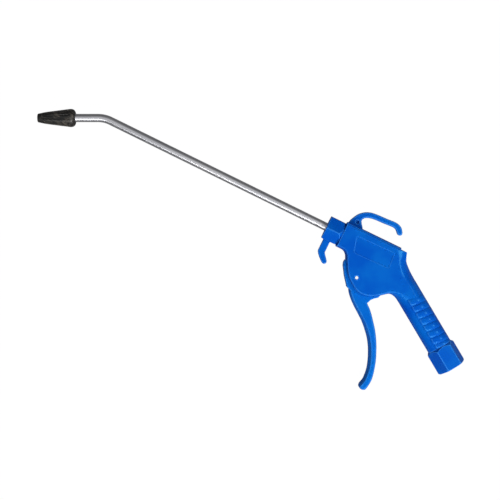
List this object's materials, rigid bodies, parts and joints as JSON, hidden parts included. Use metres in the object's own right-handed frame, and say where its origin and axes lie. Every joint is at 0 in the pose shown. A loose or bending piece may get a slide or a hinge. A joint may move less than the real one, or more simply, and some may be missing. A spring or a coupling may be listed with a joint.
{
  "type": "air blow gun",
  "caption": "Pneumatic air duster: blue moulded grip gun with finger lever, push valve, bent 8 mm steel blow tube with rubber cone tip, hooks and G 1/4 inlet.",
  "frame": {"origin": "centre of the air inlet's mouth, where the hose fitting screws in", "axes": "the gun lies on its side: +X along the barrel towards the grip, +Y towards the hanging hook, +Z across the body"},
  "size_m": [0.479, 0.1608, 0.028],
  "materials": {
    "blue_moulding": "moulded, slightly glossy",
    "blue_lever": "moulded, slightly glossy",
    "tube_steel": "zinc plated, satin",
    "pin_steel": "bright turned",
    "brass": "turned",
    "black_rubber": "matte",
    "spring_steel": "drawn wire"
  },
  "bodies": {
    "gun_body": {"body_housing": "blue_moulding", "front_cap": "blue_moulding", "tube_ferrule": "brass", "tube_oring": "black_rubber", "nozzle_tube": "tube_steel", "rubber_tip": "black_rubber", "pivot_pin": "pin_steel", "valve_bush": "brass", "bush_upper_oring": "black_rubber", "bush_lower_oring": "black_rubber", "stem_oring": "black_rubber", "bush_retaining_ring": "spring_steel", "valve_spring": "spring_steel", "inlet_nut": "blue_moulding", "inlet_insert": "brass", "inlet_gasket": "black_rubber"},
    "trigger": {"trigger_lever": "blue_lever"},
    "valve": {"valve_stem": "brass", "poppet_seal": "black_rubber", "stem_button": "black_rubber"}
  },
  "joints": [
    {"name": "lever_pivot", "type": "hinge", "parent": "gun_body", "child": "trigger", "pos_m": [-0.12285, 0.03736, 0], "axis": [0, 0, 1], "range_deg": [0, 10], "stiffness_Nm_per_rad": 2.4, "springref_deg": -14.32},
    {"name": "valve_stroke", "type": "slide", "parent": "gun_body", "child": "valve", "axis": [0, 1, 0], "range_m": [0, 0.0048], "deforming": ["valve_spring"]}
  ],
  "couplings": [
    {"joint": "valve_stroke", "follows": "lever_pivot", "m_per_rad": 0.027189}
  ]
}
